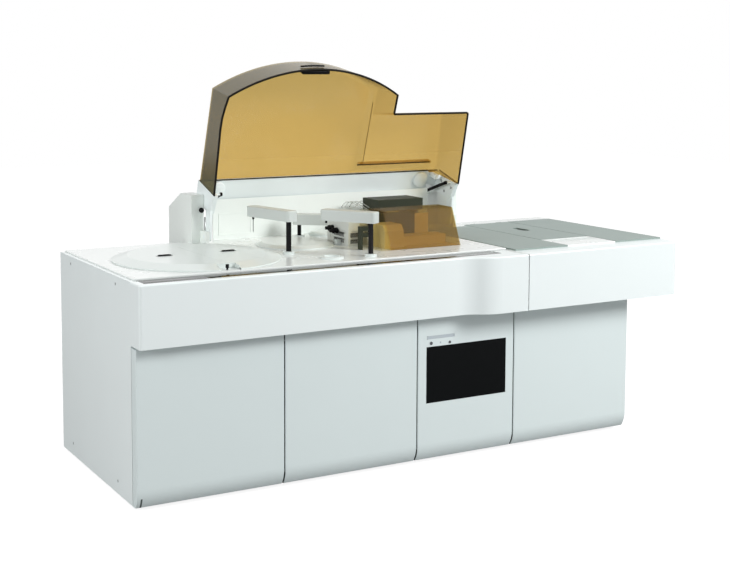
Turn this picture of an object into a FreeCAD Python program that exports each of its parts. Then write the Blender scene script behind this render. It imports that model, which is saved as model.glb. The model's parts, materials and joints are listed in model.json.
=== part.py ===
import FreeCAD, Part
import os
from math import sin, cos, pi, radians, degrees, sqrt, atan2, hypot

# A floor-standing immunoassay analyzer: a long steel cabinet with four doors, an
# overhanging front fascia, a worktop with two carousels and three arms, and a tinted
# hood that stands open. Lengths are millimetres. X runs to the right, Y to the back
# and Z up from the floor; the drawing origin is the front left corner of the cabinet
# on the floor, and every solid is moved to the middle of the footprint when it is kept.

V = FreeCAD.Vector
os.makedirs("parts", exist_ok=True)

# Cabinet
cabinet_width = 2444.0
cabinet_depth = 936.0
rim_height = 900.0
floor_gap = 20.0
panel_thickness = 18.0
panel_skin = 2.0
tube = 40.0
rail_height = 60.0

# Doors
door_seams = (637.0, 1274.0, 1784.0)
door_thickness = 45.0
door_skin = 2.5
door_gap = 4.0
door_roll = 70.0
door_corner = 5.0
door_pin_radius = 4.0
door_pin_inset = 9.0
door_top_gap = 7.0
running_gap = 0.05

# Fascia
fascia_height = 248.0
fascia_reach = 50.0
fascia_bulge = 54.0
fascia_skin = 3.0
bulge_inset = 338.0
bulge_length = 190.0
split_inset = 5.0
overhang = 209.0
end_corner = 30.0
left_corner = 12.0
top_round = 6.0

# Worktop
deck_thickness = 6.0
deck_end = 1788.0
deck_front = 72.0
ledge_front = -20.0
ledge_left = 30.0
ledge_inset = 88.0
ledge_drop = 8.0
ledge_thickness = 5.0

# Screen and its controls, on the third door, with their drops below the door's top edge
screen_left = 1319.0
screen_width = 421.0
screen_drop = 128.0
screen_height = 247.0
screen_thickness = 4.0
bar_left = 1321.0
bar_width = 143.0
bar_height = 14.0
bar_drop = 88.0
button_drops = ((1343.0, 113.0, 7.0), (1439.0, 117.0, 6.0))
lamp_drop = (1391.0, 114.0, 4.0)

# Reagent carousel
reagent_side_clear = 82.0
reagent_front_clear = 8.0
reagent_back_clear = 136.0
reagent_slope = 65.0
tub_inset = 72.0
reagent_rise = 22.0
reagent_depth = 150.0
tub_wall = 4.0
notch_width = 84.0
notch_depth = 62.0
cover_wall = 4.0
cover_split = 0.8
spindle_radius = 12.0
bottle_count = 24
bottle_radius = 24.0

# Reaction carousel
reaction_offset = 198.0
reaction_back = 326.0
cross_rail_offset = 277.0
reaction_radius = 178.0
reaction_slope = 28.0
reaction_rise = 16.0
reaction_depth = 110.0
cuvette_count = 36

# Arms: rise of the underside above the worktop, height, direction, reach, rise of the tip
arm_a = dict(y=372.0, rise=143.0, height=47.0, to=(-54.0, 243.0), reach=249.0, tip=69.0)
arm_b = dict(rise=64.0, height=52.0, to=(120.0, -92.0), reach=150.0, tip=40.0)
arm_c = dict(y=146.0, rise=144.0, height=48.0, to=(-117.0, 185.0), reach=219.0, tip=129.0)
arm_a_clear = 44.0
arm_b_offset = 130.0
arm_b_back = 121.0
arm_c_offset = 126.0
arm_width = 58.0
shaft_drop = 200.0
bush_radius = 26.0
bush_height = 12.0

# Hood and its frame. A point of the lid is given by its distance s up the lid and its
# depth d towards the open side, both measured from the lid's own datum line.
lid_tilt = 19.0
datum_back = 14.0
datum_rise = 194.0
hinge_inset = 111.0
hinge_rise = 33.0
lid_left = 660.0
lid_right = 2000.0
hood_wall = 4.0
hood_rim = 188.0
hood_back = -10.0
hood_low = 95.0
hood_corner = 578.0
hood_crown = 704.0
hood_main_right = 1536.0
hood_front_draft = 27.0
hood_side_draft = 24.0
extension_front = 480.0
extension_right_low = 1993.0
extension_right_top = 1960.0
extension_back = 24.0
extension_front_draft = 60.0
extension_side_draft = 45.0
band_top = 152.0
beam_low = -5.0
beam_front = 8.0
cheek_thickness = 22.0
cheek_depth = 178.0
lid_arm_thickness = 12.0
hinge_pin_radius = 8.0
hinge_boss_radius = 22.0

# Hinge columns behind the lid, and the two stays
column_left = 597.0
column_width = 61.0
column_inset = 74.0
column_reach = 204.0
column_rise = 223.0
column_shoulder = 145.0
column_crest = 54.0
column_drop = 126.0
column_wall = 3.0
stay_offset = 55.0
stay_back = 79.0
stay_rise = 158.0
stay_lid_s = 85.0
stay_lid_d = 140.0
stay_tube_radius = 8.0
stay_tube_length = 205.0
stay_rod_radius = 4.0
stay_pin_radius = 5.0
stay_eye_radius = 9.0
stay_eye_width = 8.0

# Cuvette loader and modules on the worktop
loader_left = 1240.0
loader_right = 1663.0
loader_back = 440.0
loader_front = 248.0
loader_lean = 70.0
loader_rise = 168.0
loader_wall = 4.0
magazine_width = 100.0
magazine_inset = 50.0
magazine_rise = 104.0
magazine_mouth = 78.0
cuvette_rail_rise = 44.0
cuvette_rail_width = 30.0
pump_rise = 104.0
pump_inset = 62.0
pump_setback = 74.0
cuvette_rail_gap = 54.0
module_offset = (188.0, 163.0)
module_size = (98.0, 196.0, 116.0)
gantry_inset = 36.0
gantry_width = 252.0
gantry_back = 86.0
gantry_depth = 150.0
gantry_rise = 114.0
gantry_height = 56.0
gantry_leg = 32.0
wash_disc = (285.0, 94.0, 76.0)
wash_ring = (45.0, 180.0, 50.0, 34.0)
wall_end_gap = 72.0
back_wall_rise = 180.0

# Service plates on the right
plate_thickness = 7.0
plate_seams = (2090.0, 2374.0)
plate_gap = 4.0
plate_front = 12.0
hatch_front = 215.0
hatch_gap = 14.0
border_inset = 87.0
finger_hole = (2245.0, 560.0, 40.0, 116.0)
hatch_pin_radius = 2.0
hatch_knuckle_radius = 3.7
hatch_pin_gap = 5.0

# Units on the cabinet floor: left side, width, gap to the cabinet's back, depth, height
supply_unit = (90.0, 350.0, 136.0, 280.0, 197.0)
control_unit = (120.0, 260.0, 516.0, 220.0, 117.0)
pump_unit = (1340.0, 400.0, 76.0, 300.0, 417.0)
fluid_unit = (720.0, 360.0, 236.0, 400.0, 317.0)
bin_unit = (2120.0, 220.0, 156.0, 518.0, 537.0)

# Worked-out levels and places
total_width = cabinet_width + overhang
deck_top = rim_height + deck_thickness
side_front = door_thickness + door_gap
rail_top = rim_height - ledge_drop - ledge_thickness
pan_thickness = 3.0
pan_top = rail_height + tube + pan_thickness
fascia_low = rim_height - fascia_height
door_top = fascia_low - door_top_gap
front_most = -(fascia_reach + fascia_bulge)
inner_left = panel_thickness
inner_right = cabinet_width - panel_thickness
rear_inner = cabinet_depth - panel_thickness
screen_low = door_top - screen_drop - screen_height
bar_level = door_top - bar_drop
button_spots = tuple((x, door_top - drop, r) for x, drop, r in button_drops)
lamp_spot = (lamp_drop[0], door_top - lamp_drop[1], lamp_drop[2])
reagent_radius = (cabinet_depth - reagent_back_clear - deck_front - reagent_front_clear) / 2
reagent_top_radius = reagent_radius - reagent_slope
reagent_x = reagent_side_clear + reagent_radius
reagent_y = deck_front + reagent_front_clear + reagent_radius
reaction_x = reagent_x + reagent_radius + reaction_offset
reaction_y = cabinet_depth - reaction_back
reaction_top_radius = reaction_radius - reaction_slope
arm_a["x"] = reagent_x + reagent_radius + arm_a_clear
arm_b["x"] = reaction_x + arm_b_offset
arm_b["y"] = cabinet_depth - arm_b_back
arm_c["x"] = reaction_x + arm_c_offset
for arm in (arm_a, arm_b, arm_c):
    arm["low"] = deck_top + arm["rise"]
    arm["high"] = arm["low"] + arm["height"]
fascia_split = deck_end - split_inset
bulge_start = deck_end - bulge_inset
ledge_right = deck_end - ledge_inset
datum_y = cabinet_depth + datum_back
datum_z = deck_top + datum_rise
hinge_y = cabinet_depth - hinge_inset
hinge_z = deck_top + hinge_rise
column_front = cabinet_depth - column_inset
column_back = cabinet_depth + column_reach
column_top = deck_top + column_rise
column_foot = deck_top - column_drop
stay_y = cabinet_depth + stay_back
stay_z = deck_top + stay_rise
loader_top = deck_top + loader_rise
border_front = cabinet_depth - border_inset
hatch_back = border_front - hatch_gap
middle = V(-total_width / 2, -(front_most + column_back) / 2, 0)


def box(x0, y0, z0, x1, y1, z1):
    return Part.makeBox(x1 - x0, y1 - y0, z1 - z0, V(x0, y0, z0))


def rod(x, y, z, radius, length, axis=(0, 0, 1)):
    return Part.makeCylinder(radius, length, V(x, y, z), V(*axis))


def plate_yz(points, x0, x1):
    wire = Part.makePolygon([V(x0, y, z) for y, z in points] + [V(x0, *points[0])])
    return Part.Face(wire).extrude(V(x1 - x0, 0, 0))


def plate_xy(wire, z0, z1):
    face = Part.Face(wire)
    face.translate(V(0, 0, z0))
    return face.extrude(V(0, 0, z1 - z0))


def turned(x, y, profile):
    # A profile of (radius, level) points turned about a vertical line
    wire = Part.makePolygon([V(x + r, y, z) for r, z in profile] + [V(x + profile[0][0], y, profile[0][1])])
    return Part.Face(wire).revolve(V(x, y, 0), V(0, 0, 1), 360)


def rounded_box(x0, y0, z0, x1, y1, z1, radius):
    # A box with its upright edges rounded
    corners = [(x1 - radius, y0 + radius, -90), (x1 - radius, y1 - radius, 0),
               (x0 + radius, y1 - radius, 90), (x0 + radius, y0 + radius, 180)]
    edges = []
    for i, (cx, cy, start) in enumerate(corners):
        at = [V(cx + radius * cos(radians(start + a)), cy + radius * sin(radians(start + a)), z0)
              for a in (0, 45, 90)]
        if edges and (at[0] - last).Length > 1e-6:
            edges.append(Part.makeLine(last, at[0]))
        edges.append(Part.Arc(at[0], at[1], at[2]).toShape())
        if i == 0:
            first = at[0]
        last = at[2]
    if (first - last).Length > 1e-6:
        edges.append(Part.makeLine(last, first))
    return Part.Face(Part.Wire(edges)).extrude(V(0, 0, z1 - z0))


def joined(shapes):
    return shapes[0].fuse(list(shapes[1:])).removeSplitter()


def keep(name, *shapes):
    moved = []
    for shape in shapes:
        for solid in shape.Solids:
            copy = solid.copy()
            copy.translate(middle)
            moved.append(copy)
    result = moved[0] if len(moved) == 1 else Part.makeCompound(moved)
    result.exportStep("parts/" + name + ".step")
    volume = sum(s.Volume for s in moved)
    print("%-24s %3d solids  %.4f l  valid %s" % (name, len(moved), volume / 1e6, result.isValid()))


# Base frame: square tubes, butt-welded
post_centres = (inner_left + tube / 2, door_seams[0] + 3, door_seams[1] + 3, door_seams[2] + 3,
                inner_right - tube / 2)
front_rail = (side_front, side_front + tube)
rear_rail = (rear_inner - tube, rear_inner)
overhang_wall = 3.0
tubes = []
for y0, y1 in (front_rail, rear_rail):
    tubes.append(box(inner_left, y0, rail_height, inner_right, y1, rail_height + tube))
    tubes.append(box(inner_left, y0, rail_top - tube, total_width - overhang_wall, y1, rail_top))
    for x in post_centres:
        tubes.append(box(x - tube / 2, y0, pan_top, x + tube / 2, y1, rail_top - tube))
for x in post_centres:
    tubes.append(box(x - tube / 2, front_rail[1], rail_height, x + tube / 2, rear_rail[0], rail_height + tube))
for x in (post_centres[0], reaction_x + cross_rail_offset) + post_centres[3:]:
    tubes.append(box(x - tube / 2, front_rail[1], rail_top - tube, x + tube / 2, rear_rail[0], rail_top))
for left, right in zip(post_centres[:-1], post_centres[1:]):
    tubes.append(box(left + tube / 2, front_rail[0], fascia_low - tube, right - tube / 2, front_rail[1], fascia_low))
tubes.append(box(inner_left, side_front, rail_height + tube, inner_right, rear_inner, pan_top))
keep("base_frame", *tubes)

# Levelling feet under the rails
foot_radius = 20.0
foot_disc = 14.0
foot_stem = 8.0
feet = []
foot_spots = (post_centres[0] + 8, post_centres[2], post_centres[4] - 8)
foot_lines = (150.0, 810.0)
for x in foot_spots:
    for y in foot_lines:
        feet.append(joined([rod(x, y, 0, foot_radius, foot_disc), rod(x, y, foot_disc, foot_stem, rail_height - foot_disc)]))
keep("levelling_feet", *feet)


# Outer panels: a sheet skin with a return along each edge
return_width = 11.0
hem_height = 20.0


def side_panel(x_out, x_in, top):
    skin = x_out + (panel_skin if x_out < x_in else -panel_skin)
    s0, s1 = sorted((x_out, skin))
    r0, r1 = sorted((skin, x_in))
    front, back = side_front + return_width, cabinet_depth - panel_thickness - return_width
    return [box(s0, side_front, floor_gap, s1, cabinet_depth, top),
            box(r0, side_front, floor_gap, r1, front, top),
            box(r0, back, floor_gap, r1, cabinet_depth, top),
            box(r0, front, floor_gap, r1, back, floor_gap + hem_height),
            box(r0, front, top - hem_height, r1, back, top)]


screw_head = 6.0
screw_shank = 3.0
screw_spots = ((218.0, floor_gap + 52), (794.0, floor_gap + 52), (218.0, rail_top - tube / 2), (790.0, rail_top - tube / 2))
left_panel = side_panel(0.0, panel_thickness, rim_height)
for y, z in screw_spots:
    left_panel[0] = left_panel[0].cut(rod(-1, y, z, screw_head + 0.2, panel_skin + 3, (1, 0, 0)))
keep("left_side_panel", *left_panel)
keep("right_side_panel", *side_panel(cabinet_width, cabinet_width - panel_thickness, fascia_low))
keep("panel_screws", *[joined([rod(0.4, y, z, screw_head, 3, (1, 0, 0)),
                               rod(3.4, y, z, screw_shank, panel_thickness - 3.4, (1, 0, 0))])
                       for y, z in screw_spots])
rear_skin = cabinet_depth - panel_skin
keep("rear_panel", box(inner_left, rear_skin, floor_gap, inner_right, cabinet_depth, rail_top),
     box(inner_left, rear_inner, floor_gap, inner_left + return_width, rear_skin, rail_top),
     box(inner_right - return_width, rear_inner, floor_gap, inner_right, rear_skin, rail_top),
     box(inner_left + return_width, rear_inner, floor_gap, inner_right - return_width, rear_skin, floor_gap + hem_height),
     box(inner_left + return_width, rear_inner, rail_top - hem_height, inner_right - return_width, rear_skin, rail_top))

over_right = total_width
over_floor = fascia_low + overhang_wall
keep("overhang_panel", box(inner_right, side_front, fascia_low, over_right, cabinet_depth, over_floor),
     box(over_right - overhang_wall, side_front, over_floor, over_right, cabinet_depth, rail_top),
     box(inner_right, cabinet_depth - overhang_wall, over_floor, over_right - overhang_wall, cabinet_depth, rail_top))


# Fascia: a thin channel whose plan is straight, then an S of two arcs, then straight
def fascia_plan(inset, x0, x1, back, round_left, round_right):
    face = -fascia_reach + inset
    bulged = face - fascia_bulge
    r = (bulge_length ** 2 + fascia_bulge ** 2) / (4 * fascia_bulge)
    turn = 2 * atan2(fascia_bulge, bulge_length)
    edges = []
    start = V(x0, back, 0)
    straight = face if x0 < bulge_start else bulged
    end = face if x1 < bulge_start else bulged
    if round_left > 0:
        rl = round_left - inset
        edges.append(Part.makeLine(start, V(x0, straight + rl, 0)))
        q = rl * (1 - cos(pi / 4))
        edges.append(Part.Arc(V(x0, straight + rl, 0), V(x0 + q, straight + q, 0), V(x0 + rl, straight, 0)).toShape())
        here = V(x0 + rl, straight, 0)
    else:
        edges.append(Part.makeLine(start, V(x0, straight, 0)))
        here = V(x0, straight, 0)
    if x0 < bulge_start < x1:
        out, inn = r + inset, r - inset
        c1 = V(bulge_start, -fascia_reach - r, 0)
        c2 = V(bulge_start + bulge_length, -fascia_reach - fascia_bulge + r, 0)
        edges.append(Part.makeLine(here, V(bulge_start, face, 0)))
        p = [V(c1.x + out * sin(a), c1.y + out * cos(a), 0) for a in (0, turn / 2, turn)]
        edges.append(Part.Arc(p[0], p[1], p[2]).toShape())
        q = [V(c2.x - inn * sin(a), c2.y - inn * cos(a), 0) for a in (turn, turn / 2, 0)]
        edges.append(Part.Arc(p[2], q[1], q[2]).toShape())
        here = q[2]
    if round_right > 0:
        rr = round_right - inset
        edges.append(Part.makeLine(here, V(x1 - rr, end, 0)))
        k = rr * (1 - cos(pi / 4))
        edges.append(Part.Arc(V(x1 - rr, end, 0), V(x1 - k, end + k, 0), V(x1, end + rr, 0)).toShape())
        here = V(x1, end + rr, 0)
    else:
        edges.append(Part.makeLine(here, V(x1, end, 0)))
        here = V(x1, end, 0)
    edges.append(Part.makeLine(here, V(x1, back, 0)))
    edges.append(Part.makeLine(V(x1, back, 0), start))
    return Part.Wire(edges)


def fascia(x0, x1, round_left, round_right):
    t = fascia_skin
    outer = plate_xy(fascia_plan(0, x0, x1, side_front, round_left, round_right), fascia_low, rim_height)
    edges = [e for e in outer.Edges if abs(e.CenterOfMass.z - rim_height) < 1e-6 and e.CenterOfMass.y < -fascia_reach / 2]
    outer = outer.makeFillet(top_round, edges)
    left = x0 + t if round_left > 0 else x0 - t
    right = x1 - t if round_right > 0 else x1 + t
    inner = plate_xy(fascia_plan(t, left, right, side_front + t, round_left, round_right), fascia_low + t, rim_height - t)
    return outer.cut(inner)


half_gap = 2.0
main_fascia = fascia(0, fascia_split - half_gap, left_corner, 0)
ledge_space = box(ledge_left, ledge_front, rim_height - fascia_skin - 1, ledge_right, side_front + 1, rim_height + 1)
keep("fascia_main", main_fascia.cut(ledge_space))
keep("fascia_end", fascia(fascia_split + half_gap, total_width, 0, end_corner))

# Worktop: a tray with wells for the two carousels and holes for the shafts
ledge_top = rim_height - ledge_drop
tub_clear = 1.0
reagent_tub_radius = reagent_radius - tub_inset
reaction_tub_radius = reaction_radius - 10.0
lip = 6.0
deck_left = panel_thickness + 2.0
deck_back = cabinet_depth - 2.0
deck = box(deck_left, deck_front, rail_top, deck_end, deck_back, deck_top)
deck = deck.makeFillet(3.0, [e for e in deck.Edges if abs(e.CenterOfMass.z - deck_top) < 1e-6])
deck = deck.cut(box(deck_left + lip, deck_front + lip, rail_top - 1, deck_end - lip, deck_back - lip, rim_height))
well_cuts = [rod(reagent_x, reagent_y, rim_height - 1, reagent_tub_radius + tub_clear, deck_thickness + 2),
             rod(reaction_x, reaction_y, rim_height - 1, reaction_tub_radius + tub_clear, deck_thickness + 2)]
shaft_hole = 14.0
deck = deck.cut(Part.makeCompound(well_cuts))
# The plate is laid in strips, so that each square shaft hole has straight pieces around it
strip_x = [deck_left] + [arm_a["x"] + k * shaft_hole for k in (-1, 1)]
strip_x += [min(arm_b["x"], arm_c["x"]) - shaft_hole, max(arm_b["x"], arm_c["x"]) + shaft_hole, deck_end]
strip_holes = {1: (arm_a,), 3: (arm_c, arm_b)}
deck_pieces = []
for i in range(5):
    stops = [deck_front - 1]
    for a in strip_holes.get(i, ()):
        stops += [a["y"] - shaft_hole, a["y"] + shaft_hole]
    stops.append(deck_back + 1)
    for y0, y1 in zip(stops[0::2], stops[1::2]):
        cell = deck.common(box(strip_x[i], y0, rim_height, strip_x[i + 1], y1, deck_top + 1))
        deck_pieces += cell.Solids
deck_pieces += deck.common(box(deck_left, deck_front, rail_top, deck_end, deck_front + lip, rim_height)).Solids
deck_pieces += deck.common(box(deck_left, deck_back - lip, rail_top, deck_end, deck_back, rim_height)).Solids
for x in (deck_left, deck_end - lip):
    deck_pieces += deck.common(box(x, deck_front + lip, rail_top, x + lip, deck_back - lip, rim_height)).Solids
keep("deck_plate", *deck_pieces)
keep("front_ledge", box(ledge_left + 1, ledge_front + 1, ledge_top - ledge_thickness, ledge_right - 1,
                        deck_front - 0.5, ledge_top))
wall_back = cabinet_depth - 4.0
keep("back_wall", box(lid_left + wall_end_gap, wall_back - 6, deck_top, lid_right - wall_end_gap, wall_back, deck_top + back_wall_rise))


# Doors: folded pans with a rolled bottom edge and a bored stile along the hinge side
hinge_levels = (rail_height + tube / 2, fascia_low - tube + 6)
hinge_leaf = 6.0
hinge_clear = 3.0


def door_profile(inset, low):
    # Front skin: upright, then an arc that falls back towards the floor
    roll_depth = 22.0
    r = (door_roll ** 2 + roll_depth ** 2) / (2 * roll_depth)
    level = floor_gap + door_roll
    front = inset
    points = []
    sweep = atan2(door_roll, r - roll_depth)
    arc = [(front + r - (r) * cos(a), level - r * sin(a)) for a in (0, sweep / 2, sweep)]
    return front, arc, level


def door_blank(x0, x1, inset, low, high, back):
    front, arc, level = door_profile(inset, low)
    a, b, c = [V(x0, y, z) for y, z in arc]
    edges = [Part.makeLine(V(x0, front, high), a), Part.Arc(a, b, c).toShape(),
             Part.makeLine(c, V(x0, back, c.z)), Part.makeLine(V(x0, back, c.z), V(x0, back, high)),
             Part.makeLine(V(x0, back, high), V(x0, front, high))]
    solid = Part.Face(Part.Wire(edges)).extrude(V(x1 - x0, 0, 0))
    cap = box(x0 - 1, -1, floor_gap - 60, x1 + 1, back + 1, low)
    return solid.cut(cap)


def door(x0, x1, hinge_on_left):
    t = door_skin
    outer = door_blank(x0, x1, 0, floor_gap, door_top, door_thickness)
    uprights = [e for e in outer.Edges if len(e.Vertexes) == 2 and abs(e.Vertexes[0].Point.y) < 1e-6
                and abs(e.Vertexes[1].Point.y) < 1e-6 and abs(e.Vertexes[0].Point.x - e.Vertexes[1].Point.x) < 1e-6]
    outer = outer.makeFillet(door_corner, uprights)
    inner = door_blank(x0 + t, x1 - t, t, floor_gap + t, door_top - t, door_thickness + 1)
    axis_x = x0 + door_pin_inset if hinge_on_left else x1 - door_pin_inset
    stile_x = (x0 + t, x0 + 18) if hinge_on_left else (x1 - 18, x1 - t)
    stile = box(stile_x[0], t, hinge_levels[0] - 2, stile_x[1], 19, door_top - t)
    leaf = outer.cut(inner).fuse(stile)
    side = (x0 - 1, x0 + 32) if hinge_on_left else (x1 - 32, x1 + 1)
    cuts = [rod(axis_x, door_pin_inset, floor_gap + door_roll, door_pin_radius + running_gap, door_top - t - floor_gap - door_roll)]
    for z in hinge_levels:
        cuts.append(box(side[0], t + 1, z - hinge_leaf / 2 - hinge_clear, side[1], door_thickness + 1, z + hinge_leaf / 2 + hinge_clear))
    cuts.append(rod(axis_x, door_pin_inset, hinge_levels[0] - 12, door_pin_radius + running_gap, door_roll))
    return leaf.cut(Part.makeCompound(cuts[:1])).cut(Part.makeCompound(cuts[1:3])).cut(cuts[3])


edges_x = (0.0,) + door_seams + (cabinet_width,)
spans = []
for i in range(4):
    left = edges_x[i] + (door_gap / 2 if i else 0)
    right = edges_x[i + 1] - (door_gap / 2 if i < 3 else 0)
    spans.append((left, right))
hinge_left = (False, True, True, False)
names = ("door_left", "door_middle", "door_screen", "door_right")
hinges = []
screen_clear = 0.3
for name, (x0, x1), on_left in zip(names, spans, hinge_left):
    leaf = door(x0, x1, on_left)
    if name == "door_screen":
        holes = [box(screen_left, -1, screen_low, screen_left + screen_width, door_skin + 1, screen_low + screen_height),
                 box(bar_left, -1, bar_level - bar_height / 2, bar_left + bar_width, door_skin + 1, bar_level + bar_height / 2)]
        holes += [rod(x, -1, z, r + screen_clear, door_skin + 2, (0, 1, 0)) for x, z, r in button_spots + (lamp_spot,)]
        leaf = leaf.cut(Part.makeCompound(holes))
    keep(name, leaf)
    axis_x = x0 + door_pin_inset if on_left else x1 - door_pin_inset
    for z in hinge_levels:
        arm_x = (axis_x - 5, axis_x + 5)
        plate = box(arm_x[0], door_pin_inset, z - hinge_leaf / 2, arm_x[1], side_front, z + hinge_leaf / 2)
        hinges.append(joined([plate, rod(axis_x, door_pin_inset, z - hinge_leaf / 2, 5, hinge_leaf),
                              rod(axis_x, door_pin_inset, z, door_pin_radius, 17)]))
keep("door_hinges", *hinges)

c = screen_clear
keep("screen_panel", box(screen_left + c, 0.6, screen_low + c, screen_left + screen_width - c, screen_thickness + 8,
                         screen_low + screen_height - c))
bar = rounded_box(0, 0, 0, bar_width - 2 * c, bar_height - 2 * c, 3.6, bar_height / 2 - c - 0.01)
bar.rotate(V(0, 0, 0), V(1, 0, 0), 90)
bar.translate(V(bar_left + c, 4.0, bar_level - bar_height / 2 + c))
keep("indicator_lights", bar, rod(lamp_spot[0], 0.4, lamp_spot[1], lamp_spot[2], 4, (0, 1, 0)))
for name, (x, z, r) in zip(("power_button", "standby_button"), button_spots):
    keep(name, joined([rod(x, -1.6, z, r, 6, (0, 1, 0)), rod(x, 2.5 + c, z, r + 2, 2, (0, 1, 0))]))

# Reagent carousel: a well in the worktop, a turning tray of bottles and a cover in two halves
flange = 3.0
well_wall = tub_wall
bush_wall = 18.0
tray_gap = 6.0
tray_thickness = 6.0
motor_side = 90.0
motor_height = 66.0
lift_gap = 0.4


def well(x, y, radius, depth, flange_radius, shaft, bush):
    floor = deck_top - depth
    bore = shaft + running_gap
    return turned(x, y, [(bore, floor), (radius, floor), (radius, deck_top), (flange_radius, deck_top),
                         (flange_radius, deck_top + flange), (radius - well_wall, deck_top + flange),
                         (radius - well_wall, floor + well_wall), (shaft + bush_wall, floor + well_wall),
                         (shaft + bush_wall, floor + bush), (bore, floor + bush)])


def motor(x, y, top, shaft):
    body = box(x - motor_side / 2, y - motor_side / 2, top - motor_height, x + motor_side / 2, y + motor_side / 2, top)
    return body.cut(rod(x, y, top - motor_height + 12, shaft + 2, motor_height))


bush_rise = 34.0
keep("reagent_well", well(reagent_x, reagent_y, reagent_tub_radius, reagent_depth, reagent_tub_radius + 9,
                          spindle_radius, bush_rise))
tray_level = deck_top - reagent_depth + bush_rise + tray_gap
tray_radius = reagent_tub_radius - well_wall - 16
reagent_motor_top = deck_top - reagent_depth
spindle_low = reagent_motor_top - motor_height + 16
tray = turned(reagent_x, reagent_y, [(0, tray_level), (tray_radius, tray_level), (tray_radius, tray_level + tray_thickness),
                                     (40, tray_level + tray_thickness), (30, tray_level + 60), (0, tray_level + 60)])
keep("reagent_tray", joined([tray, rod(reagent_x, reagent_y, spindle_low, spindle_radius, tray_level - spindle_low + 1)]))
bottle_ring = tray_radius - bottle_radius - 8
bottle_height = 78.0
bottles = []
for i in range(bottle_count):
    a = 2 * pi * (i + 0.5) / bottle_count
    bottles.append(turned(reagent_x + bottle_ring * cos(a), reagent_y + bottle_ring * sin(a),
                          [(0, tray_level + tray_thickness), (bottle_radius, tray_level + tray_thickness),
                           (bottle_radius, tray_level + tray_thickness + bottle_height - 18),
                           (14, tray_level + tray_thickness + bottle_height - 8),
                           (14, tray_level + tray_thickness + bottle_height), (0, tray_level + tray_thickness + bottle_height)]))
keep("reagent_bottles", *bottles)

cover_base = deck_top + lift_gap
cover_side = 5.0
cover_top = deck_top + reagent_rise
cover = turned(reagent_x, reagent_y, [(reagent_radius, cover_base), (reagent_radius, cover_base + cover_side),
                                      (reagent_top_radius, cover_top), (0, cover_top), (0, cover_top - cover_wall),
                                      (reagent_top_radius - 1, cover_top - cover_wall),
                                      (reagent_radius - cover_wall, cover_base + cover_side - 1),
                                      (reagent_radius - cover_wall, cover_base)])
notch = box(reagent_x - notch_width / 2, reagent_y - reagent_radius - 1, cover_base - 1,
            reagent_x + notch_width / 2, reagent_y - reagent_radius + notch_depth, cover_top + 1)
grip_x = 146.0
grip_half = 38.0
grip_radius = 12.0
cup_wall = 3.0
cup_base = cover_base + 2.0
for side in (-1, 1):
    gx = reagent_x + side * grip_x
    cup = rounded_box(gx - grip_half - cup_wall, reagent_y - grip_radius - cup_wall, cup_base, gx + grip_half + cup_wall,
                      reagent_y + grip_radius + cup_wall, cover_top - 1, grip_radius + cup_wall - 0.01)
    grip = rounded_box(gx - grip_half, reagent_y - grip_radius, cup_base + cup_wall, gx + grip_half,
                       reagent_y + grip_radius, cover_top + 1, grip_radius - 0.01)
    cover = cover.fuse(cup).cut(grip)
cover = cover.cut(notch)
halves = (("reagent_cover_left", box(reagent_x - reagent_radius - 1, 0, cover_base - 1, reagent_x - cover_split / 2,
                                     reagent_y + reagent_radius + 1, cover_top + 1)),
          ("reagent_cover_right", box(reagent_x + cover_split / 2, 0, cover_base - 1, reagent_x + reagent_radius + 1,
                                      reagent_y + reagent_radius + 1, cover_top + 1)))
for name, half in halves:
    keep(name, cover.common(half))
knob_radius = 7.0
knob_inset = 25.0
knob_y = reagent_y - reagent_radius + knob_inset
keep("lock_knob", joined([rod(reagent_x - 10, knob_y, deck_top, 4, 9),
                          rod(reagent_x - 10, knob_y, deck_top + 8, knob_radius, 14)]))

# Reaction carousel under its fixed cover
reaction_shaft = 8.0
keep("reaction_well", well(reaction_x, reaction_y, reaction_tub_radius, reaction_depth, reaction_tub_radius + 4,
                           reaction_shaft, 20.0))
ring_level = deck_top - reaction_depth + 20.0 + tray_gap
ring_radius = reaction_tub_radius - well_wall - 12
reaction_motor_top = deck_top - reaction_depth
reaction_shaft_low = reaction_motor_top - motor_height + 16
cuvette_side = 9.0
cuvette_height = 62.0
ring = [turned(reaction_x, reaction_y, [(0, ring_level), (ring_radius, ring_level), (ring_radius, ring_level + 8), (0, ring_level + 8)]),
        rod(reaction_x, reaction_y, reaction_shaft_low, reaction_shaft, ring_level - reaction_shaft_low + 1)]
for i in range(cuvette_count):
    block = box(ring_radius - 6 - cuvette_side, -cuvette_side / 2, ring_level + 7, ring_radius - 6, cuvette_side / 2,
                ring_level + 8 + cuvette_height)
    block.rotate(V(0, 0, 0), V(0, 0, 1), 360.0 * i / cuvette_count)
    block.translate(V(reaction_x, reaction_y, 0))
    ring.append(block)
keep("reaction_rotor", joined(ring))
disc_top = deck_top + reaction_rise
keep("reaction_cover", turned(reaction_x, reaction_y, [(reaction_radius, deck_top), (reaction_radius, deck_top + cover_side),
                                                       (reaction_top_radius, disc_top), (0, disc_top),
                                                       (0, disc_top - cover_wall), (reaction_top_radius - 2, disc_top - cover_wall),
                                                       (reaction_radius - cover_wall, deck_top + cover_side - 1),
                                                       (reaction_radius - cover_wall, deck_top)]))
keep("drive_motors", motor(reagent_x, reagent_y, reagent_motor_top, spindle_radius),
     motor(reaction_x, reaction_y, reaction_motor_top, reaction_shaft))

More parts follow.
